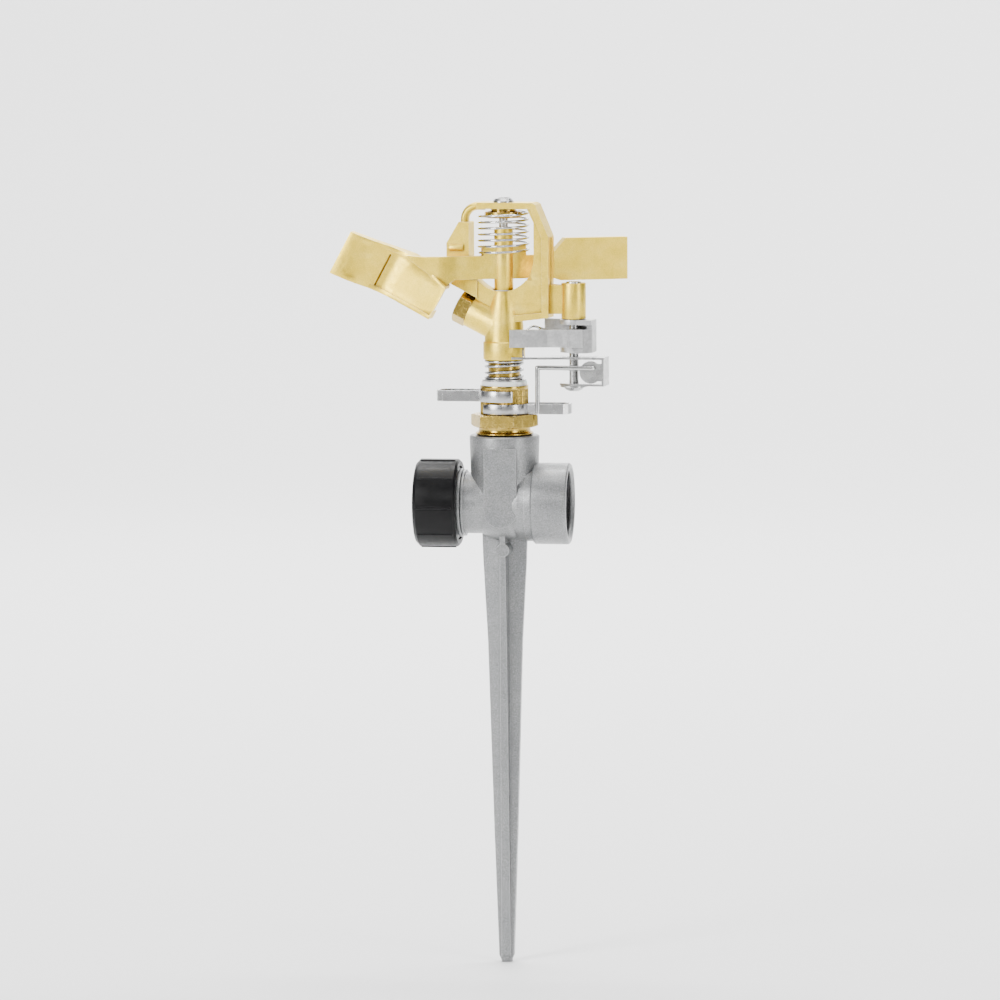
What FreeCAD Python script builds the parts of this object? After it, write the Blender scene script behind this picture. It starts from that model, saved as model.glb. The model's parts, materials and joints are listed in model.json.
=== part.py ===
"""Impact sprinkler on a ground spike.

Units are millimetres. +Z is up from the tip of the spike, the hose passage runs along X with the female
inlet at +X, and the sprinkler head is built square to X and then turned by HEAD_YAW about Z.
"""

import FreeCAD, Part
import math
import os

os.makedirs("parts", exist_ok=True)
V = FreeCAD.Vector

# Base casting
HOSE_Z = 170.5
RISER_R = 12.85
RISER_TOP = 195.7
RISER_BOTTOM = 156.6
PAD_HALF_WIDTH = 6.0
PAD_PROUD = 0.3
PAD_LOW = 168.5
FIN_ROOT = 2.05
FIN_EDGE = 0.75
FIN_REACH = 8.6
WASHER_SEAT_X = 10.5
WASHER_FACE_X = 13.3
INLET_THREAD_X = 13.4
WASHER_POCKET_R = 12.7
WASHER_HOLE_R = 7.9
WATER_R = 7.2

# Garden hose thread
HOSE_PITCH = 2.209
INLET_X = 24.2
INLET_R = 14.95
STEP_R = 13.9
INLET_MINOR = 12.2
INLET_MAJOR = 13.6
SPOUT_END = 28.0
SPOUT_ROOT = 12.05
SPOUT_CREST = 13.5
SPOUT_BORE = 9.5
FLANGE_X = 16.3

# Outlet cap
CAP_OPEN = 16.5
CAP_END = 32.3
CAP_R = 16.1
CAP_WALL_END = 2.0
CAP_RIB_PROUD = 0.4
CAP_RIBS = 9
CAP_RIB_HALF_DEG = 1.8
CAP_RIB_FIRST = -11.5

# Bearing
PIPE_PITCH = 1.814
PIPE_ROOT = 9.5
PIPE_CREST = 10.6
NUT_BOTTOM = 184.5
HEX_BOTTOM = 198.8
HEX_TOP = 203.5
HEX_FLATS = 22.0
HEX_TURN = 53.0
BARREL_R = 8.85
BARREL_TOP = 214.0
STEM_R = 5.9
STEM_BORE = 4.3
STEM_BOTTOM = 178.5
STEM_TOP = 231.0
STEM_CLEAR = 0.06

# Stop collars
COLLAR_BAND = 1.0
COLLAR_INNER = BARREL_R + 0.06
LOWER_COLLAR = (203.7, 207.4)
UPPER_COLLAR = (208.2, 212.2)
EAR_REACH = 24.8
EAR_HALF = 4.8

# Head
HEAD_YAW = -5.0
BODY_BOTTOM = 223.4
CONE_TOP = 248.6
BRIDGE_HALF = 4.2
WEB_HALF = 3.7
RIM_HALF = 4.7
ROD_HALF_DEPTH = 2.8
ROD_HALF_HEIGHT = 1.5
BRIDGE_TOP = 280.9
BAR_UNDER = 278.6
WINDOW_HALF = 12.0
LEG_OUT = 17.6
NOZZLE_TILT = 27.0
NOZZLE_AXIS_Z = 235.1
BOSS_R = 6.25
BOSS_LENGTH = 13.6
NOZZLE_HEX = 11.8
NOZZLE_LENGTH = 5.1
ORIFICE_R = 2.0
PIN_R = 1.65
PIN_CLEAR = 0.05

# Swinging arm
ARM_ANGLE = 28.5
HUB_R = 3.5
HUB_BOTTOM = 248.95
HUB_TOP = 271.8
BAR_BOTTOM = 253.0
BAR_TOP = 261.5
BAR_HALF = 1.7
TAIL_Y = -10.1
TAIL_END = -34.5
BEND_REACH = 3.6
BEND_STEPS = 8
BAR_START = 20.0
SPOON_FRONT = -12.0
ARM_SPRING_R = 9.1
ARM_SPRING_WIRE = 0.42
ARM_SPRING_PITCH = 2.3
ARM_SPRING_BOTTOM = 262.6
ARM_SPRING_TURNS = 6.5

# Trip mechanism
TRIP_X = 26.1
TRIP_PIN_R = 1.7
TRIP_BOSS_R = 4.5
SHEET = 0.8
TRIP_WIRE_R = 0.85
TRIP_WIRE_X = 13.9
TRIP_WIRE_Y = -6.5
TRIP_WIRE_Z = 221.0
PIVOT_X = 34.5


def zcyl(radius, low, high, x=0.0, y=0.0):
    """Upright cylinder between two heights."""
    return Part.makeCylinder(radius, high - low, V(x, y, low))


def rod(radius, start, end):
    """Cylinder between two points."""
    a = V(*start)
    b = V(*end)
    return Part.makeCylinder(radius, (b - a).Length, a, b - a)


def wire_rod(radius, points):
    """Round wire through the points, with a ball at each bend."""
    shapes = [rod(radius, a, b) for a, b in zip(points, points[1:])]
    shapes += [Part.makeSphere(radius, V(*p)) for p in points[1:-1]]
    return join(shapes)


def box(x0, x1, y0, y1, z0, z1):
    """Box between opposite corners."""
    return Part.makeBox(x1 - x0, y1 - y0, z1 - z0, V(x0, y0, z0))


def join(shapes):
    """One solid from several that overlap."""
    return shapes[0].multiFuse(shapes[1:]).removeSplitter() if len(shapes) > 1 else shapes[0]


def plate(points, extrude):
    """Closed outline pushed along a vector."""
    ring = [V(*p) for p in points]
    return Part.Face(Part.makePolygon(ring + [ring[0]])).extrude(V(*extrude))


def smooth_plate(runs, extrude):
    """Closed outline of straight runs and smooth curves pushed along a vector.

    Each run shares its last point with the next one's first. A run of three or more points is a smooth curve.
    """
    edges = []
    for run in runs:
        points = [V(*p) for p in run]
        if len(points) == 2:
            edges.append(Part.makeLine(points[0], points[1]))
        else:
            curve = Part.BSplineCurve()
            curve.interpolate(points)
            edges.append(curve.toShape())
    return Part.Face(Part.Wire(edges)).extrude(V(*extrude))


def plate_xz(points, y0, y1):
    return plate([(x, y0, z) for x, z in points], (0, y1 - y0, 0))


def plate_xy(points, z0, z1):
    return plate([(x, y, z0) for x, y in points], (0, 0, z1 - z0))


def plate_yz(points, x0, x1):
    return plate([(x0, y, z) for y, z in points], (x1 - x0, 0, 0))


def lathe(profile):
    """Solid turned about Z from (radius, height) points."""
    ring = [V(r, 0, z) for r, z in profile]
    return Part.Face(Part.makePolygon(ring + [ring[0]])).revolve(V(0, 0, 0), V(0, 0, 1), 360)


def along_x(shape, sign=1):
    """Lay a shape turned about Z along +X or -X at the hose height."""
    laid = shape.copy()
    laid.rotate(V(0, 0, 0), V(0, 1, 0), 90 * sign)
    laid.translate(V(0, 0, HOSE_Z))
    return laid


def threaded(root, crest, start, end, pitch):
    """Turned shaft from start to end with parallel thread ridges, as (radius, height) points."""
    points = [(0, start), (root, start)]
    count = int((end - start - 0.2) / pitch)
    for i in range(count):
        z = start + 0.2 + i * pitch
        points += [
            (root, z),
            (crest, z + 0.36 * pitch),
            (crest, z + 0.56 * pitch),
            (root, z + 0.92 * pitch),
        ]
    points += [(root, end), (0, end)]
    return [p for p, q in zip(points, points[1:] + [points[0]]) if p != q]


def bore_thread(minor, major, start, end, pitch):
    """Cutter for an internal thread: flat ridges between parallel grooves."""
    points = [(0, start), (minor, start)]
    count = int((end - start - 1.0) / pitch)
    for i in range(count):
        z = start + 1.0 + i * pitch
        points += [
            (minor, z),
            (major, z + 0.3 * pitch),
            (major, z + 0.42 * pitch),
            (minor, z + 0.72 * pitch),
        ]
    points += [(minor, end), (0, end)]
    return points


def hexagon(flats, low, high, turn=0.0):
    """Hexagonal prism with its corners broken top and bottom."""
    r = flats / math.sqrt(3)
    angles = [math.radians(turn + 60 * i) for i in range(6)]
    prism = plate_xy([(r * math.cos(a), r * math.sin(a)) for a in angles], low, high)
    drop = 0.3 * (r - flats / 2)
    guard = lathe(
        [
            (0, low),
            (flats / 2 + 0.2 * drop, low),
            (r, low + drop),
            (r, high - drop),
            (flats / 2 + 0.2 * drop, high),
            (0, high),
        ]
    )
    return prism.common(guard)


def helix(radius, wire, pitch, turns, bottom):
    """Round wire wound about Z."""
    path = Part.makeHelix(pitch, pitch * turns, radius)
    circle = Part.Wire([Part.makeCircle(wire, V(radius, 0, 0), V(0, 1, 0))])
    coil = Part.Wire(path.Edges).makePipeShell([circle], True, True)
    coil.translate(V(0, 0, bottom))
    return coil


def in_head(shape):
    """Turn a shape from the head's own square frame to its resting direction."""
    turned = shape.copy()
    turned.rotate(V(0, 0, 0), V(0, 0, 1), HEAD_YAW)
    return turned


# ---------------------------------------------------------------- base


def tapered_pair(points):
    """Outline made of points on one side and their mirror images on the other."""
    return points + [(-a, b) for a, b in reversed(points)]


def spike():
    """Cruciform blade, each fin thinner towards its edge, with a round boss near the top."""
    side = tapered_pair([(-8.4, 161), (-8.0, 149), (-6.4, 120), (-4.35, 50), (-2.7, 2.6), (-1.5, 0)])
    front = tapered_pair([(-7.6, 161), (-6.9, 148), (-5.4, 110), (-3.7, 50), (-2.4, 2.6), (-1.2, 0)])
    half_taper = [(-FIN_REACH, -FIN_EDGE), (0, -FIN_ROOT), (FIN_REACH, -FIN_EDGE)]
    side_taper = half_taper + [(-x, -y) for x, y in half_taper]
    front_taper = [(y, x) for x, y in side_taper]
    blades = [
        plate_xz(side, -3, 3).common(plate_xy(side_taper, -1, 162)),
        plate_yz(front, -3, 3).common(plate_xy(front_taper, -1, 162)),
    ]
    bosses = [Part.makeCone(3.3, 2.45, 7.6, V(0, 0, 153.8), V(0, way, 0)) for way in (-1, 1)]
    return blades + bosses


def spike_base():
    dome = [math.radians(a) for a in range(-90, 1, 15)]
    riser = lathe(
        [(12.3 * math.cos(a), RISER_BOTTOM + 10.5 + 10.5 * math.sin(a)) for a in dome]
        + [
            (12.4, 180.0),
            (RISER_R, RISER_TOP - 0.5),
            (RISER_R - 0.5, RISER_TOP),
            (0, RISER_TOP),
        ]
    )
    pad_y = RISER_R + PAD_PROUD - 0.4
    pads = [
        box(-PAD_HALF_WIDTH, PAD_HALF_WIDTH, -pad_y, pad_y, PAD_LOW, 191.6),
        rod(PAD_HALF_WIDTH, (0, -pad_y, PAD_LOW), (0, pad_y, PAD_LOW)),
    ]
    inlet = along_x(
        lathe(
            [
                (0, 0),
                (11.6, 0),
                (13.4, 6.6),
                (13.4, 8.7),
                (STEP_R, 8.7),
                (STEP_R, 11.0),
                (INLET_R - 0.6, 11.0),
                (INLET_R, 11.6),
                (INLET_R, INLET_X - 0.5),
                (INLET_R - 0.5, INLET_X),
                (0, INLET_X),
            ]
        )
    )
    spout = along_x(lathe(threaded(SPOUT_ROOT, SPOUT_CREST, FLANGE_X, SPOUT_END, HOSE_PITCH)), -1)
    neck = along_x(
        lathe(
            [
                (0, 0),
                (11.2, 0),
                (11.2, 14.2),
                (12.2, 14.2),
                (12.2, 14.9),
                (11.6, 15.1),
                (12.6, 15.4),
                (12.6, FLANGE_X),
                (0, FLANGE_X),
            ]
        ),
        -1,
    )
    solid = join([riser, inlet, spout, neck] + pads + spike())
    cuts = [
        along_x(lathe(bore_thread(INLET_MINOR, INLET_MAJOR, INLET_THREAD_X, INLET_X, HOSE_PITCH))),
        along_x(zcyl(WASHER_POCKET_R, WASHER_SEAT_X, INLET_THREAD_X)),
        along_x(
            lathe(
                [
                    (0, INLET_X - 0.9),
                    (INLET_MINOR, INLET_X - 0.9),
                    (INLET_MINOR + 1.1, INLET_X + 0.01),
                    (0, INLET_X + 0.01),
                ]
            )
        ),
        rod(WATER_R, (-12.0, 0, HOSE_Z), (WASHER_SEAT_X + 1, 0, HOSE_Z)),
        rod(SPOUT_BORE, (-SPOUT_END - 1, 0, HOSE_Z), (-11.0, 0, HOSE_Z)),
        zcyl(WATER_R, HOSE_Z, 180.0),
        zcyl(10.0, 176.5, NUT_BOTTOM),
        lathe(
            threaded(
                PIPE_ROOT + STEM_CLEAR, PIPE_CREST + STEM_CLEAR, NUT_BOTTOM, RISER_TOP + 2.1, PIPE_PITCH
            )
        ),
    ]
    return solid.cut(join(cuts))


def ring_washer(outer, inner, low, high):
    return zcyl(outer, low, high).cut(zcyl(inner, low - 1, high + 1))


def inlet_washer():
    return along_x(ring_washer(WASHER_POCKET_R - 0.1, WASHER_HOLE_R, WASHER_SEAT_X, WASHER_FACE_X))


def outlet_cap():
    shell = lathe(
        [
            (0, CAP_OPEN),
            (CAP_R - 0.8, CAP_OPEN),
            (CAP_R, CAP_OPEN + 0.8),
            (CAP_R, CAP_END - 1.3),
            (CAP_R - 1.3, CAP_END),
            (0, CAP_END),
        ]
    )
    ribs = []
    outer = CAP_R + CAP_RIB_PROUD
    for i in range(CAP_RIBS):
        middle = CAP_RIB_FIRST - i * 360.0 / CAP_RIBS
        edges = [math.radians(middle + k * CAP_RIB_HALF_DEG) for k in (-1, -0.5, 0.5, 1)]
        points = [(9.0 * math.cos(a), 9.0 * math.sin(a)) for a in (edges[0], edges[-1])]
        points += [
            (r * math.cos(a), r * math.sin(a))
            for r, a in zip((CAP_R - 0.1, outer, outer, CAP_R - 0.1), reversed(edges))
        ]
        ribs.append(plate_xy(points, CAP_OPEN + 1.2, CAP_END - 1.6))
    hollow = lathe(
        bore_thread(SPOUT_CREST + 0.15, SPOUT_CREST + 0.9, CAP_OPEN, CAP_END - CAP_WALL_END, HOSE_PITCH)
    )
    return along_x(join([shell] + ribs).cut(hollow), -1)


def cap_washer():
    low = SPOUT_END + 0.05
    return along_x(ring_washer(SPOUT_CREST, 8.2, low, CAP_END - CAP_WALL_END), -1)


# ---------------------------------------------------------------- bearing


def bearing_nut():
    knurl = []
    ribs = 48
    for i in range(ribs):
        a = math.radians(i * 360.0 / ribs)
        b = math.radians((i + 0.5) * 360.0 / ribs)
        knurl += [(BARREL_R * math.cos(a), BARREL_R * math.sin(a))]
        knurl += [((BARREL_R - 0.3) * math.cos(b), (BARREL_R - 0.3) * math.sin(b))]
    parts = [
        lathe(threaded(PIPE_ROOT, PIPE_CREST, NUT_BOTTOM, HEX_BOTTOM, PIPE_PITCH)),
        hexagon(HEX_FLATS, HEX_BOTTOM, HEX_TOP, HEX_TURN),
        plate_xy(knurl, HEX_TOP, BARREL_TOP - 1.2),
        zcyl(BARREL_R, BARREL_TOP - 1.2, BARREL_TOP),
    ]
    return join(parts).cut(zcyl(STEM_R + STEM_CLEAR, NUT_BOTTOM - 1, BARREL_TOP + 1))


def stop_collar(levels, ear_angle, gap_from, gap_to):
    """Sheet band round the barrel with a looped ear and an open gap between two angles."""
    low, high = levels
    outer = COLLAR_INNER + COLLAR_BAND
    loop = [
        (6.0, -EAR_HALF + 0.9),
        (12.0, -EAR_HALF),
        (EAR_REACH - 2.6, -EAR_HALF),
        (EAR_REACH - 0.7, -EAR_HALF + 1.2),
        (EAR_REACH, -EAR_HALF + 3.2),
    ]
    loop += [(x, -y) for x, y in reversed(loop)]
    hole = [
        (7.0, -EAR_HALF + 1.9),
        (12.1, -EAR_HALF + COLLAR_BAND),
        (EAR_REACH - 2.9, -EAR_HALF + COLLAR_BAND),
        (EAR_REACH - 1.0, -EAR_HALF + 3.2),
    ]
    hole += [(x, -y) for x, y in reversed(hole)]
    solid = join([zcyl(outer, low, high), plate_xy(loop, low, high)])
    solid = solid.cut(zcyl(COLLAR_INNER, low - 1, high + 1))
    solid = solid.cut(plate_xy(hole, low - 1, high + 1))
    solid.rotate(V(0, 0, 0), V(0, 0, 1), ear_angle)
    steps = 6
    sweep = [gap_from + (gap_to - gap_from) * i / steps for i in range(steps + 1)]
    wedge = [(0, 0)] + [(14 * math.cos(math.radians(a)), 14 * math.sin(math.radians(a))) for a in sweep]
    return solid.cut(plate_xy(wedge, low - 1, high + 1))


def bearing_spring():
    coil = helix(6.75, 0.5, 2.45, 2.3, 217.0)
    floor = Part.makeTorus(6.75, 0.5, V(0, 0, 216.75))
    lid = Part.makeTorus(6.75, 0.5, V(0, 0, 222.85))
    return join([coil, floor, lid])


def stem_tube():
    outer = lathe(
        [
            (0, STEM_BOTTOM),
            (8.8, STEM_BOTTOM),
            (8.8, STEM_BOTTOM + 2.0),
            (STEM_R, STEM_BOTTOM + 2.0),
            (STEM_R, STEM_TOP),
            (0, STEM_TOP),
        ]
    )
    return outer.cut(zcyl(STEM_BORE, STEM_BOTTOM - 1, STEM_TOP + 1))


# ---------------------------------------------------------------- head


def slanted(shape):
    """Tip a shape turned about Z on to the nozzle's axis."""
    tipped = shape.copy()
    tipped.rotate(V(0, 0, 0), V(0, 1, 0), -(90 - NOZZLE_TILT))
    tipped.translate(V(0, 0, NOZZLE_AXIS_Z))
    return tipped


def bridge():
    """Frame round the arm: a thin web inside a deeper rim along the top, the right leg and the foot."""
    web = [
        (-9.0, BRIDGE_TOP),
        (11.8, BRIDGE_TOP),
        (12.9, 280.2),
        (LEG_OUT + 0.2, 268.4),
        (LEG_OUT, 239.0),
        (5.0, 237.4),
        (-5.0, 237.4),
        (-15.0, 246.5),
        (-9.0, 262.0),
    ]
    fin = [
        (-9.0, 246.0),
        (-15.0, 246.5),
        (-20.5, 250.0),
        (-20.5, 266.0),
        (-15.9, 273.8),
        (-12.6, 273.8),
        (-9.0, 272.0),
    ]
    rim_inside = [
        (-30.0, BAR_UNDER),
        (11.0, BAR_UNDER),
        (15.1, 268.0),
        (15.1, 240.9),
        (3.0, 239.6),
        (-30.0, 239.6),
    ]
    right_half = box(-9.0, 30.0, -RIM_HALF, RIM_HALF, 230.0, 290.0)
    deep = plate_xz(web, -RIM_HALF, RIM_HALF).cut(plate_xz(rim_inside, -9, 9)).common(right_half)
    opening = [
        (-WINDOW_HALF, 260.4),
        (-WINDOW_HALF, BAR_UNDER),
        (9.6, BAR_UNDER),
        (WINDOW_HALF, 273.6),
        (WINDOW_HALF, 260.4),
    ]
    window = join(
        [
            plate_xz(opening, -9, 9),
            rod(WINDOW_HALF - 0.05, (0, -9, 260.4), (0, 9, 260.4)),
        ]
    )
    plates = [plate_xz(web, -WEB_HALF, WEB_HALF), plate_xz(fin, -BRIDGE_HALF, BRIDGE_HALF), deep]
    return join([join(plates).cut(window), corner_rod()])


def corner_rod():
    """Oval bent bar between the top of the bridge and the left leg."""
    centre = V(-9.4, 0, 274.5)
    reach = 5.0
    start = V(-7.0, 0, centre.z + reach)
    top = centre + V(0, 0, reach)
    middle = centre + V(-math.sqrt(0.5), 0, math.sqrt(0.5)) * reach
    side = centre + V(-reach, 0, 0)
    path = Part.Wire(
        [
            Part.makeLine(start, top),
            Part.Arc(top, middle, side).toShape(),
            Part.makeLine(side, V(side.x, 0, 271.0)),
        ]
    )
    oval = Part.Ellipse(start + V(0, ROD_HALF_DEPTH, 0), start + V(0, 0, ROD_HALF_HEIGHT), start)
    return path.makePipeShell([Part.Wire([oval.toShape()])], True, True)


def sprinkler_body():
    column = lathe(
        [
            (0, BODY_BOTTOM),
            (7.35, BODY_BOTTOM),
            (7.65, BODY_BOTTOM + 0.3),
            (7.65, 229.7),
            (7.1, 230.2),
            (7.1, 236.0),
            (6.5, 240.0),
            (4.25, CONE_TOP),
            (0, CONE_TOP),
        ]
    )
    boss = slanted(zcyl(BOSS_R, 0, BOSS_LENGTH))
    pad = wire_rod(1.4, [(-19.2, -3.9, 264.4), (-14.2, -3.9, 264.4)])
    web = plate_xz([(15.0, 240.4), (24.0, 240.4), (24.0, 250.6), (15.0, 251.3)], -2.6, 2.6)
    trip_boss = zcyl(TRIP_BOSS_R, 238.6, 251.6, TRIP_X)
    inner = LEG_OUT - 1.0
    parting = [(inner, 241.0), (LEG_OUT + 0.35, 241.0), (LEG_OUT + 0.5, 268.2), (inner, 268.2)]
    seam = plate_xz(parting, -0.5, 0.5)
    solid = join([column, boss, bridge(), pad, web, trip_boss, seam])
    sweep = box(-19.0, 19.0, -BAR_HALF - 0.4, BAR_HALF + 0.4, BAR_BOTTOM - 0.4, BAR_TOP + 0.5)
    spanner_r = NOZZLE_HEX / math.sqrt(3) + 0.2
    cuts = [
        zcyl(STEM_R, BODY_BOTTOM - 1, STEM_TOP),
        zcyl(STEM_BORE, STEM_TOP - 1, 239.5),
        slanted(zcyl(STEM_BORE - 0.3, 0, BOSS_LENGTH + 1)),
        slanted(zcyl(4.9, BOSS_LENGTH - 7.5, BOSS_LENGTH + 1)),
        zcyl(PIN_R, 243.0, CONE_TOP + 1),
        zcyl(PIN_R, 270.0, 290.0),
        zcyl(TRIP_PIN_R, 230.0, 255.0, TRIP_X),
        zcyl(HUB_R + 0.7, CONE_TOP, BAR_BOTTOM),
        slanted(zcyl(spanner_r, BOSS_LENGTH, BOSS_LENGTH + 3 * NOZZLE_LENGTH)),
        on_bar(sweep),
        on_bar(sweep).mirror(V(0, 0, 0), V(0, 1, 0)),
    ]
    for cut in cuts:
        solid = solid.cut(cut)
    return solid


def nozzle():
    head = hexagon(NOZZLE_HEX, BOSS_LENGTH, BOSS_LENGTH + NOZZLE_LENGTH, 0.0)
    shank = zcyl(4.9, BOSS_LENGTH - 7.2, BOSS_LENGTH + 0.5)
    mouth = BOSS_LENGTH + NOZZLE_LENGTH
    way = lathe(
        [
            (0, BOSS_LENGTH - 8),
            (3.9, BOSS_LENGTH - 8),
            (3.6, BOSS_LENGTH - 4),
            (ORIFICE_R, mouth - 1.6),
            (ORIFICE_R, mouth - 0.5),
            (ORIFICE_R + 0.6, mouth + 0.1),
            (0, mouth + 0.1),
        ]
    )
    return slanted(join([head, shank]).cut(way))


def fulcrum_pin():
    return lathe(
        [
            (0, 243.0),
            (PIN_R, 243.0),
            (PIN_R, BRIDGE_TOP),
            (3.8, BRIDGE_TOP),
            (3.75, BRIDGE_TOP + 0.5),
            (3.0, BRIDGE_TOP + 1.4),
            (1.8, BRIDGE_TOP + 2.0),
            (0, BRIDGE_TOP + 2.2),
        ]
    )


def spring_seat():
    turned = lathe(
        [
            (PIN_R, 275.3),
            (6.5, 275.3),
            (6.9, 275.7),
            (6.9, 277.4),
            (4.6, 277.8),
            (4.6, BAR_UNDER),
            (PIN_R, BAR_UNDER),
        ]
    )
    return turned


# ---------------------------------------------------------------- arm


def on_bar(shape):
    """Turn a shape from the X direction on to the arm's own direction."""
    turned = shape.copy()
    turned.rotate(V(0, 0, 0), V(0, 0, 1), ARM_ANGLE)
    return turned


SPOON_OUTLINE = [
    (-62.7, 255.3),
    (-54.5, 270.4),
    (-33.2, 261.7),
    (-18.2, 250.8),
    (-25.0, 238.8),
    (-40.2, 245.6),
]
SPOON_INSIDE = [
    (-63.7, 258.0),
    (-56.0, 269.6),
    (-33.6, 260.2),
    (-17.4, 248.7),
    (-24.6, 240.3),
    (-39.7, 247.0),
]
SPOON_SLOPE = 24.0
SPOON_LEAN = 28.5
VANE = [
    (0, 0),
    (5, 0.2),
    (10, 1.9),
    (14, 4.5),
    (17.5, 6.2),
    (21, 5.9),
    (26, 4.2),
    (33, 1.5),
    (40, -1.3),
    (47, -4.0),
]
VANE_WALL = 1.5
RIM_STEP = 0.8
RIM_FROM = 4
FLANGE_BACK = [(47, 0.5), (40.5, 4.6), (33, 13.5), (26, 16.0), (20, 13.5), (9, 7.5), (0, 4.0)]
SLIT = [(15.7, 0.5), (16.4, 0.5), (16.4, 6.9), (15.7, 6.5)]


def across_spoon(runs, start=-4.0, height=26.0):
    """Push a plan outline, in runs of (length, depth), along the spoon's leaning end edges."""
    slope = math.radians(SPOON_SLOPE)
    lean = math.radians(SPOON_LEAN)
    up = V(math.sin(lean), 0, math.cos(lean))
    x0 = SPOON_OUTLINE[0][0] + up.x * start
    z0 = SPOON_OUTLINE[0][1] + up.z * start
    placed = []
    for run in runs:
        placed.append([(x0 + u * math.cos(slope), SPOON_FRONT + v, z0 - u * math.sin(slope)) for u, v in run])
    return smooth_plate(placed, (up.x * height, 0, up.z * height))


def closed_runs(points):
    """Straight runs round an outline."""
    return [[p, q] for p, q in zip(points, points[1:] + points[:1])]


def spoon():
    """Curved front vane between two flanges that reach back beside the jet."""
    outside = plate_xz(SPOON_OUTLINE, -20.0, 8.0)
    inside = plate_xz(SPOON_INSIDE, -20.0, 8.0)
    edge = VANE[:RIM_FROM] + [(u, v - RIM_STEP) for u, v in VANE[RIM_FROM:]]
    back = [edge[-1]] + FLANGE_BACK + [edge[0]]
    block = across_spoon([edge] + [[p, q] for p, q in zip(back, back[1:])]).common(outside)
    behind = [(u, v + VANE_WALL) for u, v in VANE]
    open_back = [behind[-1], (47, 22), (-3, 22), (-3, 4), behind[0]]
    hollow = across_spoon([behind] + [[p, q] for p, q in zip(open_back, open_back[1:])]).common(inside)
    front = [(-1, -9), VANE[0]]
    shut = [VANE[-1], (47, -9), (-1, -9)]
    recess = across_spoon([front, VANE] + [[p, q] for p, q in zip(shut, shut[1:])]).common(inside)
    slit = across_spoon(closed_runs(SLIT), 1.9, 13.0)
    return block.cut(hollow).cut(recess).cut(slit)


BAR_SIDE = [
    (30.0, BAR_TOP),
    (-14.8, BAR_TOP),
    (-27.5, 261.3),
    (-33.7, 261.8),
    (-33.1, 260.6),
    (-19.3, 250.6),
    (-16.0, BAR_BOTTOM),
    (30.0, BAR_BOTTOM),
]


def swept_bar(path):
    """Plan outline of a flat bar of even width along a path."""
    near = []
    far = []
    for i, point in enumerate(path):
        way = path[min(i + 1, len(path) - 1)] - path[max(i - 1, 0)]
        side = V(-way.y, way.x, 0).normalize() * BAR_HALF
        near.append(point - side)
        far.append(point + side)
    return [(p.x, p.y) for p in near + far[::-1]]


def bar_path():
    """Middle line of the arm from the counterweight past the hub and round the bend to the tail."""
    turn = math.radians(ARM_ANGLE)
    along = V(math.cos(turn), math.sin(turn), 0)
    corner = V(TAIL_Y / math.tan(turn), TAIL_Y, 0)
    before = corner + along * BEND_REACH
    after = corner + V(-BEND_REACH, 0, 0)
    bend = []
    for i in range(BEND_STEPS + 1):
        t = i / BEND_STEPS
        bend.append(before * (1 - t) ** 2 + corner * (2 * t * (1 - t)) + after * t**2)
    return [along * BAR_START] + bend + [V(TAIL_END, TAIL_Y, 0)]


def impact_arm():
    """Hub, bar, counterweight, tail and spoon cast in one."""
    hub = zcyl(HUB_R, HUB_BOTTOM, HUB_TOP)
    bar = plate_xy(swept_bar(bar_path()), 250.0, 262.0).common(plate_xz(BAR_SIDE, -30.0, 30.0))
    weight_outline = [
        (18.2, 253.0),
        (21.2, 252.0),
        (46.6, 252.0),
        (46.6, 267.5),
        (23.0, 267.5),
        (18.2, 262.3),
    ]
    weight = on_bar(plate_xz(weight_outline, -2.3, 2.3))
    lugs = on_bar(box(-8.1, 8.1, -BAR_HALF, BAR_HALF, BAR_TOP - 0.5, 265.2))
    shape = join([hub, bar, weight, lugs, spoon()])
    return shape.cut(zcyl(PIN_R + PIN_CLEAR, HUB_BOTTOM - 1, HUB_TOP + 1))


def arm_spring():
    coil = helix(ARM_SPRING_R, ARM_SPRING_WIRE, ARM_SPRING_PITCH, ARM_SPRING_TURNS, ARM_SPRING_BOTTOM)
    return coil


# ---------------------------------------------------------------- trip mechanism


def trip_pin():
    return lathe(
        [
            (0, 212.0),
            (1.8, 212.15),
            (3.0, 212.7),
            (3.65, 213.4),
            (3.65, 213.7),
            (TRIP_PIN_R, 213.7),
            (TRIP_PIN_R, 251.6),
            (2.8, 251.6),
            (2.7, 252.1),
            (0, 252.3),
        ]
    ).translated(V(TRIP_X, 0, 0))


LEG_WIRE = 0.4
HELD_LEG = [(15.1, -3.4, 233.0), (16.4, -2.0, 232.2), (22.0, -1.4, 232.2)]


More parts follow.
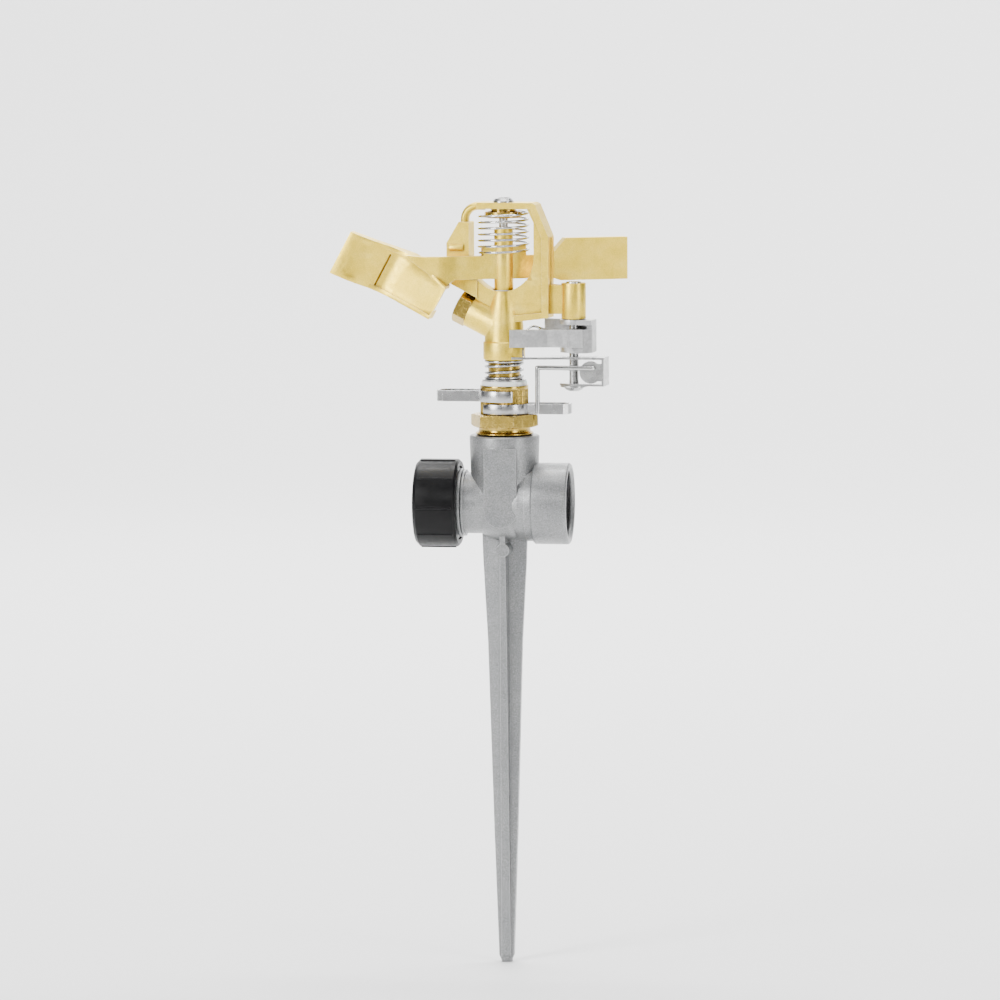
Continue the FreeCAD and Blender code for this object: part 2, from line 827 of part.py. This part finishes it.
def trip_lever():
    """Die-cast channel: a bent front bar, a low hub and a top lug joined by the back wall."""
    front = [
        (30.9, -5.0),
        (30.9, -7.4),
        (18.0, -8.6),
        (5.2, -12.1),
        (4.6, -11.6),
        (4.6, -10.1),
        (17.4, -6.4),
        (27.0, -5.0),
    ]
    bar = plate_xy(front, 228.6, 235.0)
    cheek = plate_xy([(33.6, -3.2), (31.0, -6.6), (27.5, -6.9), (27.5, 0), (33.6, 0)], 226.4, 235.0)
    low_hub = zcyl(5.0, 226.4, 233.2, TRIP_X)
    top_lug = zcyl(5.0, 236.6, 238.3, TRIP_X)
    lug_tail = box(TRIP_X, 33.6, -4.6, 4.6, 236.6, 238.3)
    back = plate_xy([(14.5, 3.0), (14.5, 4.6), (33.6, 4.6), (33.6, 3.0)], 229.0, 238.3)
    wall = box(31.6, 33.6, -3.2, 4.6, 226.4, 238.3)
    foot = box(TRIP_X, 33.6, -3.2, 4.6, 226.4, 229.4)
    web = plate_xy([(30.9, -5.0), (22.6, -6.8), (22.6, 0), (30.9, 0)], 228.6, 233.2)
    shape = join([bar, cheek, low_hub, top_lug, lug_tail, back, wall, foot, web])
    shape = shape.cut(wire_rod(LEG_WIRE + 0.02, HELD_LEG))
    return shape.cut(zcyl(TRIP_PIN_R + PIN_CLEAR, 220, 245, TRIP_X))


def trip_bracket():
    """Sheet metal U on the trip pin with a round cheek and a long tongue."""
    low, high = 214.3, 224.8
    top = [
        (4.7, -8.9),
        (4.7, -7.7),
        (22.0, 4.2),
        (38.3, 4.2),
        (38.3, -5.4),
        (24.0, -5.4),
    ]
    base = [(38.3, -5.4), (26.1, -5.2), (21.2, -2.0), (21.2, 2.0), (24.0, 4.2), (38.3, 4.2)]
    wall = box(38.3 - SHEET, 38.3, -5.4, 4.2, low, high)
    disc = rod(4.1, (33.4, -5.4, 219.4), (33.4, -5.4 + SHEET, 219.4))
    strap = box(33.4, 38.3, -5.4, -5.4 + SHEET, 216.2, 222.6)
    shape = join(
        [plate_xy(top, high - SHEET, high), plate_xy(base, low, low + SHEET), wall, disc, strap]
    )
    hole = zcyl(TRIP_PIN_R + PIN_CLEAR, low - 1, high + 1, TRIP_X)
    return shape.cut(hole).cut(rod(TRIP_WIRE_R + 0.01, (PIVOT_X, -9, TRIP_WIRE_Z), (PIVOT_X, 0, TRIP_WIRE_Z)))


def trip_wire():
    points = [
        (PIVOT_X, -3.4, TRIP_WIRE_Z),
        (PIVOT_X, TRIP_WIRE_Y, TRIP_WIRE_Z),
        (TRIP_WIRE_X, TRIP_WIRE_Y, TRIP_WIRE_Z),
        (TRIP_WIRE_X, TRIP_WIRE_Y, 204.2),
    ]
    return wire_rod(TRIP_WIRE_R, points)


def over_center_spring():
    """Two close turns behind the front bar, a leg hooked under the tongue and a leg held by the lever."""
    centres = [V(12.2, -3.4, 233.0), V(12.2, -4.15, 233.0)]
    turns = [Part.makeTorus(2.9, LEG_WIRE, centre, V(0, 1, 0)) for centre in centres]
    hooked = wire_rod(LEG_WIRE, [(9.3, -4.15, 233.0), (9.0, -8.0, 227.6), (9.9, -8.4, 225.3)])
    return join(turns + [hooked, wire_rod(LEG_WIRE, HELD_LEG)])


NODES = {
    "spike_base": spike_base,
    "inlet_washer": inlet_washer,
    "outlet_cap": outlet_cap,
    "cap_washer": cap_washer,
    "bearing_nut": bearing_nut,
    "lower_collar": lambda: stop_collar(LOWER_COLLAR, 0.0, 160.0, 226.0),
    "upper_collar": lambda: stop_collar(UPPER_COLLAR, 180.0, -65.0, 40.0),
    "nylon_washer": lambda: ring_washer(8.35, STEM_R + STEM_CLEAR, 214.02, 215.6),
    "spring_washer": lambda: ring_washer(8.0, STEM_R + STEM_CLEAR, 215.62, 216.2),
    "friction_washer": lambda: ring_washer(8.8, STEM_R + STEM_CLEAR, 180.56, 182.4),
    "seal_washer": lambda: ring_washer(9.2, STEM_R + STEM_CLEAR, 182.4, 184.5),
}
HEAD_NODES = {
    "bearing_spring": bearing_spring,
    "stem_tube": stem_tube,
    "sprinkler_body": sprinkler_body,
    "nozzle": nozzle,
    "fulcrum_pin": fulcrum_pin,
    "spring_seat": spring_seat,
    "hub_washer": lambda: ring_washer(3.3, PIN_R, CONE_TOP, CONE_TOP + 0.3),
    "impact_arm": impact_arm,
    "arm_spring": arm_spring,
    "trip_pin": trip_pin,
    "trip_washer": lambda: ring_washer(5.0, TRIP_PIN_R, 213.7, 214.2).translated(V(TRIP_X, 0, 0)),
    "trip_lever": trip_lever,
    "trip_bracket": trip_bracket,
    "over_center_spring": over_center_spring,
    "trip_wire": trip_wire,
}

for name, make in NODES.items():
    make().exportStep(f"parts/{name}.step")
for name, make in HEAD_NODES.items():
    in_head(make()).exportStep(f"parts/{name}.step")
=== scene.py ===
"""Impact sprinkler on a ground spike: materials, wire springs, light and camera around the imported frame."""
import json
import math

import bmesh
import bpy
from mathutils import Matrix, Vector


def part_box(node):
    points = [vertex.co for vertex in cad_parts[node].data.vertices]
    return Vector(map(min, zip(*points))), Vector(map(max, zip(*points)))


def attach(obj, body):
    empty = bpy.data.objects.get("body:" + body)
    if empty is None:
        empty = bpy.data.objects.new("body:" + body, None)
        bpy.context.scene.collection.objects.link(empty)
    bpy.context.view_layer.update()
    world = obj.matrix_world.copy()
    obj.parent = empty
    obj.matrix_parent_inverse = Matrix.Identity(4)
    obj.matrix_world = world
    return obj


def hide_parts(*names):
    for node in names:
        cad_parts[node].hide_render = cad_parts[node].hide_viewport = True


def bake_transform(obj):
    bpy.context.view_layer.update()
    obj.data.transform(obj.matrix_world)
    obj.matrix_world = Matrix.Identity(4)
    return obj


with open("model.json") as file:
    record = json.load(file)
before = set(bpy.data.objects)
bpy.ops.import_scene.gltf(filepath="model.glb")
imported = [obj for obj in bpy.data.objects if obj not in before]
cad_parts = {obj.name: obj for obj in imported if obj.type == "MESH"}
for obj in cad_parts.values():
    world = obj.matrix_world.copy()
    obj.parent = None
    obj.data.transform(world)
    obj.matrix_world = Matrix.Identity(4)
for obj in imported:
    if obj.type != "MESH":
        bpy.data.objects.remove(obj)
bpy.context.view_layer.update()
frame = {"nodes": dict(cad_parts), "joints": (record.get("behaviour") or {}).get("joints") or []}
NODES = frame["nodes"]
JOINTS = {j["name"]: j for j in frame["joints"]}
MM = 0.001

# The head is built square to X, then turned about Z: the trip pin shows by how much.
trip_axis = Vector(JOINTS["trip_lever_turn"]["pos_m"])
HEAD_TURN = Matrix.Rotation(math.atan2(trip_axis.y, trip_axis.x), 4, "Z")


# ---------------------------------------------------------------- node helpers


class Shader:
    """Short names for building one Principled material."""

    def __init__(self, name, metallic, roughness, **sockets):
        self.material = bpy.data.materials.new(name)
        self.material.use_nodes = True
        self.tree = self.material.node_tree
        self.bsdf = self.tree.nodes["Principled BSDF"]
        self.bsdf.inputs["Metallic"].default_value = metallic
        self.bsdf.inputs["Roughness"].default_value = roughness
        for key, value in sockets.items():
            self.bsdf.inputs[key.replace("_", " ")].default_value = value
        self.place = self.tree.nodes.new("ShaderNodeTexCoord").outputs["Object"]

    def link(self, out, socket):
        self.tree.links.new(out, socket)

    def mapped(self, scale=(1, 1, 1)):
        node = self.tree.nodes.new("ShaderNodeMapping")
        node.inputs["Scale"].default_value = scale
        self.link(self.place, node.inputs["Vector"])
        return node.outputs["Vector"]

    def noise(self, scale, detail=4, stretch=(1, 1, 1), roughness=0.55):
        """Noise with features about 1/scale metres across."""
        node = self.tree.nodes.new("ShaderNodeTexNoise")
        node.inputs["Scale"].default_value = scale
        node.inputs["Detail"].default_value = detail
        node.inputs["Roughness"].default_value = roughness
        self.link(self.mapped(stretch), node.inputs["Vector"])
        return node.outputs["Fac"]

    def cells(self, scale, feature="F1", output="Distance"):
        node = self.tree.nodes.new("ShaderNodeTexVoronoi")
        node.feature = feature
        node.inputs["Scale"].default_value = scale
        self.link(self.mapped(), node.inputs["Vector"])
        return node.outputs[output]

    def ramp(self, factor, stops):
        """Colour ramp from (position, colour or grey) stops."""
        node = self.tree.nodes.new("ShaderNodeValToRGB")
        elements = node.color_ramp.elements
        while len(elements) < len(stops):
            elements.new(0.5)
        for element, (position, colour) in zip(elements, stops):
            element.position = position
            grey = isinstance(colour, (int, float))
            element.color = (colour,) * 3 + (1,) if grey else tuple(colour) + (1,)
        self.link(factor, node.inputs["Fac"])
        return node.outputs["Color"]

    def spread(self, factor, low, high):
        """A factor mapped from 0.3..0.7 to low..high."""
        node = self.tree.nodes.new("ShaderNodeMapRange")
        node.inputs["From Min"].default_value = 0.3
        node.inputs["From Max"].default_value = 0.7
        node.inputs["To Min"].default_value = low
        node.inputs["To Max"].default_value = high
        self.link(factor, node.inputs["Value"])
        return node.outputs["Result"]

    def mix(self, factor, first, second, mode="MIX"):
        node = self.tree.nodes.new("ShaderNodeMix")
        node.data_type = "RGBA"
        node.blend_type = mode
        for index, value in ((0, factor), (6, first), (7, second)):
            if isinstance(value, bpy.types.NodeSocket):
                self.link(value, node.inputs[index])
            elif isinstance(value, (int, float)):
                node.inputs[index].default_value = value
            else:
                node.inputs[index].default_value = tuple(value) + (1,)
        return node.outputs[2]

    def times(self, first, second):
        return self.mix(1.0, first, second, "MULTIPLY")

    def edges(self, reach=0.00035, low=0.02, high=0.35):
        """1 along sharp edges, 0 on flat faces: how far a rounded normal leans from the true one."""
        rounded = self.tree.nodes.new("ShaderNodeBevel")
        rounded.samples = 4
        rounded.inputs["Radius"].default_value = reach
        geometry = self.tree.nodes.new("ShaderNodeNewGeometry")
        product = self.tree.nodes.new("ShaderNodeVectorMath")
        product.operation = "DOT_PRODUCT"
        self.link(rounded.outputs["Normal"], product.inputs[0])
        self.link(geometry.outputs["Normal"], product.inputs[1])
        return self.ramp(product.outputs["Value"], [(1 - high, 1.0), (1 - low, 0.0)])

    def painted_corner_shade(self, colour, dark, reach=0.0014):
        """Painted shade: a colour darkened by ambient occlusion in grooves and inside corners."""
        shade = self.tree.nodes.new("ShaderNodeAmbientOcclusion")
        shade.samples = 4
        shade.inputs["Distance"].default_value = reach
        return self.times(colour, self.ramp(shade.outputs["AO"], [(0.25, dark), (0.85, (1.0, 1.0, 1.0))]))

    def bumps(self, *layers):
        """Stacked bumps, each (height, distance in metres, strength)."""
        normal = None
        for height, distance, strength in layers:
            node = self.tree.nodes.new("ShaderNodeBump")
            node.inputs["Distance"].default_value = distance
            node.inputs["Strength"].default_value = strength
            self.link(height, node.inputs["Height"])
            if normal is not None:
                self.link(normal, node.inputs["Normal"])
            normal = node.outputs["Normal"]
        self.link(normal, self.bsdf.inputs["Normal"])

    def colour(self, out):
        self.link(out, self.bsdf.inputs["Base Color"])

    def rough(self, out):
        self.link(out, self.bsdf.inputs["Roughness"])


def hammered_paint():
    """Silver metallic paint with fine flake and a light hammered skin."""
    s = Shader("hammered_silver_paint", 0.7, 0.4, Coat_Weight=0.2, Coat_Roughness=0.25)
    flake = s.cells(5200, output="Color")
    grain = s.noise(2300, 3)
    drift = s.noise(90, 3)
    shades = [(0.3, (0.19, 0.194, 0.194)), (0.5, (0.26, 0.264, 0.264)), (0.7, (0.34, 0.344, 0.344))]
    base = s.ramp(grain, shades)
    spark = s.ramp(flake, [(0.35, (0.84, 0.84, 0.84)), (0.75, (1.1, 1.1, 1.1))])
    tone = s.ramp(drift, [(0.3, (0.86, 0.865, 0.88)), (0.7, (1.0, 1.0, 1.0))])
    worn = s.mix(s.edges(), s.times(s.times(base, spark), tone), (0.66, 0.66, 0.66))
    # Painted shade darkens the paint in grooves and inside corners.
    s.colour(s.painted_corner_shade(worn, (0.45, 0.45, 0.46)))
    s.rough(s.spread(s.noise(700, 3), 0.36, 0.52))
    s.bumps((s.noise(420, 2), 0.0002, 0.22), (grain, 0.00005, 0.25))
    return s.material


def cast_brass():
    """Satin brass casting: blasted grain, faint tarnish and rubbed edges."""
    s = Shader("cast_brass", 1.0, 0.4)
    grain = s.noise(2600, 3)
    cloud = s.noise(150, 5)
    base = s.ramp(cloud, [(0.3, (0.80, 0.57, 0.055)), (0.52, (0.90, 0.66, 0.08)), (0.72, (0.97, 0.74, 0.13))])
    fine = s.ramp(grain, [(0.3, (0.80, 0.79, 0.74)), (0.7, (1.04, 1.04, 1.02))])
    tarnish = s.ramp(s.noise(420, 6, roughness=0.7), [(0.62, 0.0), (0.78, 0.35)])
    stained = s.mix(tarnish, s.times(base, fine), (0.40, 0.23, 0.05))
    # Rubbed edges lighter; painted shade darkens grooves and inside corners.
    s.colour(s.painted_corner_shade(s.mix(s.edges(), stained, (1.0, 0.82, 0.34)), (0.35, 0.27, 0.16)))
    s.rough(s.spread(s.noise(900, 4), 0.33, 0.5))
    s.bumps((cloud, 0.0003, 0.1), (grain, 0.00006, 0.35))
    return s.material


def turned_brass():
    """Machined brass with fine turning rings round Z."""
    s = Shader("turned_brass", 1.0, 0.22)
    rings = s.noise(300, 3, stretch=(1, 1, 22))
    base = s.ramp(s.noise(260, 4), [(0.3, (0.43, 0.30, 0.055)), (0.7, (0.58, 0.41, 0.095))])
    band = s.ramp(rings, [(0.35, (0.86, 0.85, 0.84)), (0.65, (1.04, 1.04, 1.04))])
    # Rubbed edges lighter; painted shade darkens grooves and inside corners.
    s.colour(s.painted_corner_shade(s.mix(s.edges(), s.times(base, band), (0.93, 0.70, 0.34)), (0.4, 0.32, 0.2)))
    s.rough(s.spread(s.noise(1200, 3), 0.16, 0.32))
    s.bumps((rings, 0.00002, 0.3), (s.noise(3000, 2), 0.00001, 0.15))
    return s.material


def bright_steel(name, tone, rough, stretch):
    """Bright steel with drawn scratches along one direction and a few dull marks."""
    s = Shader(name, 1.0, rough)
    scratch = s.noise(1500, 5, stretch=stretch)
    marks = s.noise(260, 5)
    base = s.ramp(marks, [(0.3, [0.82 * c for c in tone]), (0.7, tone)])
    lines = s.ramp(scratch, [(0.35, (0.90, 0.90, 0.91)), (0.65, (1.04, 1.04, 1.04))])
    # Rubbed edges lighter; painted shade darkens grooves and inside corners.
    s.colour(s.painted_corner_shade(s.mix(s.edges(), s.times(base, lines), (0.8, 0.8, 0.79)), (0.4, 0.4, 0.4)))
    s.rough(s.spread(marks, rough * 0.8, rough * 1.3))
    s.bumps((scratch, 0.00001, 0.25), (marks, 0.0001, 0.06))
    return s.material


def die_cast_zinc():
    """Grey die-cast metal with a tumbled skin."""
    s = Shader("die_cast_zinc", 0.85, 0.42)
    skin = s.noise(1100, 5)
    base = s.ramp(s.noise(200, 5), [(0.3, (0.42, 0.42, 0.42)), (0.7, (0.60, 0.60, 0.595))])
    fine = s.ramp(skin, [(0.3, (0.84, 0.84, 0.84)), (0.7, (1.06, 1.06, 1.06))])
    # Rubbed edges lighter; painted shade darkens grooves and inside corners.
    s.colour(s.painted_corner_shade(s.mix(s.edges(), s.times(base, fine), (0.78, 0.78, 0.78)), (0.35, 0.35, 0.36)))
    s.rough(s.spread(s.noise(500, 4), 0.34, 0.5))
    s.bumps((skin, 0.0001, 0.4), (s.noise(2800, 2), 0.00004, 0.3))
    return s.material


def black_plastic():
    """Moulded black plastic with a fine leathery skin and rubbed rib edges."""
    s = Shader("black_moulded_plastic", 0.0, 0.42, Specular_IOR_Level=0.16)
    skin = s.noise(1700, 3)
    base = s.ramp(s.noise(160, 4), [(0.3, (0.002, 0.002, 0.0022)), (0.7, (0.004, 0.004, 0.0045))])
    s.colour(s.mix(s.edges(), base, (0.02, 0.02, 0.022)))
    s.rough(s.spread(s.noise(600, 4), 0.30, 0.46))
    s.bumps((skin, 0.00006, 0.45), (s.noise(240, 3), 0.0002, 0.12))
    return s.material


def white_nylon():
    """Turned white nylon, slightly translucent and scuffed."""
    s = Shader("white_nylon", 0.0, 0.42, Subsurface_Weight=0.15, Subsurface_Scale=0.002)
    rings = s.noise(400, 3, stretch=(1, 1, 14))
    base = s.ramp(rings, [(0.3, (0.74, 0.74, 0.71)), (0.7, (0.86, 0.86, 0.84))])
    s.colour(s.mix(s.ramp(s.noise(900, 5), [(0.6, 0.0), (0.75, 0.5)]), base, (0.62, 0.60, 0.55)))
    s.rough(s.spread(s.noise(800, 3), 0.35, 0.52))
    s.bumps((rings, 0.00005, 0.4))
    return s.material


def black_rubber():
    """Matt rubber with a dusty bloom."""
    s = Shader("black_rubber", 0.0, 0.75)
    bloom = s.noise(450, 6)
    s.colour(s.ramp(bloom, [(0.3, (0.014, 0.014, 0.014)), (0.7, (0.038, 0.037, 0.036))]))
    s.rough(s.spread(bloom, 0.62, 0.85))
    s.bumps((s.noise(2000, 4), 0.00008, 0.5))
    return s.material


WIRE_TONE = (0.56, 0.56, 0.545)
PAINT = hammered_paint()
CAST = cast_brass()
TURNED = turned_brass()
WIRE = bright_steel("bright_wire", WIRE_TONE, 0.2, (1, 1, 6))
SHEET = bright_steel("sheet_steel", (0.52, 0.52, 0.51), 0.26, (5, 1, 1))
BAND = bright_steel("rolled_band", (0.52, 0.52, 0.515), 0.26, (1, 1, 14))
ZINC = die_cast_zinc()
PLASTIC = black_plastic()
NYLON = white_nylon()
RUBBER = black_rubber()

MATERIALS = {
    "spike_base": PAINT,
    "inlet_washer": RUBBER,
    "outlet_cap": PLASTIC,
    "cap_washer": RUBBER,
    "bearing_nut": TURNED,
    "lower_collar": BAND,
    "upper_collar": BAND,
    "nylon_washer": NYLON,
    "spring_washer": SHEET,
    "friction_washer": NYLON,
    "seal_washer": RUBBER,
    "stem_tube": TURNED,
    "sprinkler_body": CAST,
    "nozzle": TURNED,
    "fulcrum_pin": SHEET,
    "spring_seat": TURNED,
    "hub_washer": NYLON,
    "impact_arm": CAST,
    "trip_pin": SHEET,
    "trip_washer": SHEET,
    "trip_lever": ZINC,
    "trip_bracket": SHEET,
    "trip_wire": WIRE,
}

# Width of the rounding on each node's edges, in mm.
EDGE = {
    "spike_base": 0.35,
    "sprinkler_body": 0.32,
    "impact_arm": 0.28,
    "trip_lever": 0.3,
    "outlet_cap": 0.3,
    "bearing_nut": 0.12,
    "nozzle": 0.18,
    "upper_collar": 0.14,
    "lower_collar": 0.14,
    "trip_bracket": 0.12,
}


WELD_REACH = 2e-6
BEVEL_ANGLE = math.radians(28)


def soften(node, width):
    """Rounds a CAD node's sharp edges with modifiers, and leaves its mesh alone."""
    weld = node.modifiers.new("weld", "WELD")
    weld.merge_threshold = WELD_REACH
    bevel = node.modifiers.new("rounded_edges", "BEVEL")
    bevel.width = width * MM
    bevel.segments = 2
    bevel.limit_method = "ANGLE"
    bevel.angle_limit = BEVEL_ANGLE
    bevel.use_clamp_overlap = True
    bevel.harden_normals = False


def dress_frame():
    """Puts a material on every CAD node that is carried over, and rounds the larger ones."""
    for name, material in MATERIALS.items():
        node = NODES[name]
        node.data.materials.clear()
        node.data.materials.append(material)
        if name in EDGE:
            soften(node, EDGE[name])


# ---------------------------------------------------------------- wire work


def tube(name, points, radius, sides=14):
    """Round wire mesh along the points, closed with domed ends."""
    points = [Vector(p) for p in points]
    mesh = bmesh.new()
    side = None
    rings = []
    count = len(points)
    for i, point in enumerate(points):
        ahead = points[min(i + 1, count - 1)] - points[max(i - 1, 0)]
        ahead.normalize()
        if side is None:
            side = ahead.orthogonal().normalized()
        side = (side - ahead * side.dot(ahead)).normalized()
        up = ahead.cross(side)
        steps = [(0.0, 1.0)]
        if i == 0:
            steps = [(-1.0, 0.35), (-0.7, 0.75), (0.0, 1.0)]
        if i == count - 1:
            steps = [(0.0, 1.0), (0.7, 0.75), (1.0, 0.35)]
        for slide, swell in steps:
            ring = []
            for k in range(sides):
                a = 2 * math.pi * k / sides
                offset = (side * math.cos(a) + up * math.sin(a)) * radius * swell
                ring.append(mesh.verts.new(point + ahead * radius * slide + offset))
            rings.append(ring)
    for a, b in zip(rings, rings[1:]):
        for k in range(sides):
            j = (k + 1) % sides
            mesh.faces.new((a[k], a[j], b[j], b[k]))
    mesh.faces.new(rings[0][::-1])
    mesh.faces.new(rings[-1])
    bmesh.ops.recalc_face_normals(mesh, faces=mesh.faces)
    for face in mesh.faces:
        face.smooth = True
    data = bpy.data.meshes.new(name)
    mesh.to_mesh(data)
    mesh.free()
    obj = bpy.data.objects.new(name, data)
    bpy.context.scene.collection.objects.link(obj)
    return obj


def coil_points(radius_at, z_at, turns, start=0.0, per_turn=40):
    """Points wound about Z, with radius and height as functions of the share wound."""
    total = int(turns * per_turn)
    points = []
    for i in range(total + 1):
        share = i / total
        angle = start + 2 * math.pi * turns * share
        radius = radius_at(share)
        points.append(Vector((radius * math.cos(angle), radius * math.sin(angle), z_at(share))))
    return points


def head_piece(name, points, radius, material):
    """Wire given in the head's own square frame."""
    obj = tube(name, [HEAD_TURN @ Vector(p) for p in points], radius)
    obj.data.materials.append(material)
    return obj


def arm_spring():
    """Torsion spring: open turns, a short tail at the top end, and a foot hooked behind the arm's lug."""
    low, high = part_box("arm_spring")
    wire = 0.42 * MM
    radius = (high.x - low.x) / 2 - wire
    bottom = low.z + wire
    top = high.z - wire
    turns = 6.75
    start = math.radians(208.0)

    def height(share):
        return bottom + (top - bottom) * share

    def wide(share):
        return radius * (1.0 - 0.02 * share)

    coil = coil_points(wide, height, turns, start)
    first = coil[0]
    foot = [
        Vector((first.x * 0.55, first.y * 0.9 + 1.2 * MM, first.z + 0.9 * MM)),
        Vector((first.x * 0.86, first.y * 0.98, first.z + 0.3 * MM)),
    ]
    end = coil[-1]
    ahead = (end - coil[-2]).normalized()
    tail = [end + ahead * 1.2 * MM - Vector((end.x, end.y, 0)).normalized() * 0.4 * MM]
    spring = head_piece("arm_spring_coil", foot + coil + tail, wire, WIRE)
    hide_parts("arm_spring")
    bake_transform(spring)


def bearing_spring():
    """Short compression spring with closed ends on the stem."""
    low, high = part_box("bearing_spring")
    wire = 0.5 * MM
    radius = (high.x - low.x) / 2 - wire
    bottom = low.z + wire
    top = high.z - wire

    def height(share):
        eased = min(max((share - 0.18) / 0.64, 0.0), 1.0)
        return bottom + (top - bottom) * eased

    points = coil_points(lambda share: radius, height, 4.0, 0.6)
    spring = head_piece("bearing_spring_coil", points, wire, WIRE)
    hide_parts("bearing_spring")
    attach(spring, "head")


def over_center_spring():
    """Two turns behind the trip lever: one leg is held by the lever, one ends beside the bracket."""
    wire = 0.4 * MM
    centre = Vector((12.2, -3.75, 233.0)) * MM
    radius = 2.9 * MM
    turns = 2.25
    total = int(turns * 36)
    coil = []
    for i in range(total + 1):
        a = math.pi - 2 * math.pi * turns * i / total
        y = -0.5 * MM + 1.0 * MM * i / total
        coil.append(centre + Vector((radius * math.cos(a), y, radius * math.sin(a))))
    free_leg = ((9.4, -8.9, 225.0), (9.0, -8.5, 225.6), (8.7, -7.6, 227.4), (9.0, -4.6, 231.2))
    held_leg = ((14.2, -3.1, 235.3), (17.0, -2.4, 234.4), (22.0, -1.4, 232.2))
    leg = [Vector(p) * MM for p in free_leg]
    arm = [Vector(p) * MM for p in held_leg]
    spring = head_piece("trip_spring_wire", leg + coil + arm, wire, WIRE)
    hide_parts("over_center_spring")
    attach(spring, "lever")


# ---------------------------------------------------------------- studio


def floor():
    """Pale floor that curves up into a backdrop."""
    mesh = bmesh.new()
    half = 9.0
    front = -9.0
    turn = 1.6
    rise = 1.0
    steps = 12
    profile = [(front, 0.0), (turn, 0.0)]
    for i in range(1, steps + 1):
        a = math.pi / 2 * i / steps
        profile.append((turn + rise * math.sin(a), rise * (1 - math.cos(a))))
    profile.append((turn + rise, 4.0))
    rows = [[mesh.verts.new((x, y, z)) for y, z in profile] for x in (-half, half)]
    for i in range(len(profile) - 1):
        face = mesh.faces.new((rows[0][i], rows[1][i], rows[1][i + 1], rows[0][i + 1]))
        face.smooth = True
    data = bpy.data.meshes.new("studio_floor")
    mesh.to_mesh(data)
    mesh.free()
    obj = bpy.data.objects.new("studio_floor", data)
    bpy.context.scene.collection.objects.link(obj)
    material = bpy.data.materials.new("pale_floor")
    material.use_nodes = True
    shader = material.node_tree.nodes["Principled BSDF"]
    shader.inputs["Base Color"].default_value = (0.88, 0.88, 0.88, 1)
    shader.inputs["Roughness"].default_value = 0.7
    obj.data.materials.append(material)


def lamp(name, place, aim, size, power):
    """Soft rectangular light pointed at a spot."""
    light = bpy.data.lights.new(name, "AREA")
    light.shape = "RECTANGLE"
    light.size, light.size_y = size
    light.energy = power
    obj = bpy.data.objects.new(name, light)
    bpy.context.scene.collection.objects.link(obj)
    obj.location = place
    obj.rotation_euler = (Vector(aim) - Vector(place)).to_track_quat("-Z", "Y").to_euler()


def overhead_sun(strength, spread_deg):
    """Very soft light from straight above, which keeps the far floor pale."""
    light = bpy.data.lights.new("overhead", "SUN")
    light.energy = strength
    light.angle = math.radians(spread_deg)
    obj = bpy.data.objects.new("overhead", light)
    bpy.context.scene.collection.objects.link(obj)


HEAD_SPOT = (0.0, 0.0, 0.2)
WALL_SPOT = (0.0, 2.6, 0.7)

# Name, place and target in metres, width and height in metres, power in watts.
LAMPS = [
    ("key_left", (-1.0, -1.15, 0.75), HEAD_SPOT, (0.5, 1.1), 33),
    ("key_right", (1.15, -0.75, 0.55), HEAD_SPOT, (0.35, 1.1), 11),
    ("front", (0.1, -1.9, 1.0), HEAD_SPOT, (0.5, 0.4), 8),
    ("top", (0.0, 0.1, 1.3), HEAD_SPOT, (0.8, 0.8), 9),
    ("rim", (-0.3, 1.3, 0.9), HEAD_SPOT, (0.6, 0.9), 6),
    ("backdrop", (0.0, 0.7, 2.2), WALL_SPOT, (2.4, 0.6), 170),
]


def studio():
    """Floor, lamps and a faint cool surround."""
    floor()
    overhead_sun(1.5, 60.0)
    for settings in LAMPS:
        lamp(*settings)
    world = bpy.data.worlds.new("studio")
    bpy.context.scene.world = world
    world.use_nodes = True
    surround = world.node_tree.nodes["Background"]
    surround.inputs["Color"].default_value = (0.92, 0.95, 1.0, 1)
    surround.inputs["Strength"].default_value = 0.06


def camera():
    """Long lens a little to the right of square and just above the tee."""
    azimuth, elevation, roll = math.radians(8.0), math.radians(6.0), math.radians(0.3)
    aside = -1.8 * MM
    aim = Vector((aside * math.cos(azimuth), aside * math.sin(azimuth), 0.1716))
    view_height = 0.367
    data = bpy.data.cameras.new("camera")
    data.lens = 200
    data.sensor_width = 36
    back = Vector((
        math.sin(azimuth) * math.cos(elevation),
        -math.cos(azimuth) * math.cos(elevation),
        math.sin(elevation),
    ))
    distance = view_height / 2 / (data.sensor_width / 2 / data.lens)
    obj = bpy.data.objects.new("camera", data)
    bpy.context.scene.collection.objects.link(obj)
    obj.location = aim + back * distance
    turn = (-back).to_track_quat("-Z", "Y").to_matrix().to_4x4() @ Matrix.Rotation(-roll, 4, "Z")
    obj.rotation_euler = turn.to_euler()
    data.clip_start, data.clip_end = 0.05, 30
    bpy.context.scene.camera = obj


dress_frame()
arm_spring()
bearing_spring()
over_center_spring()
studio()
camera()
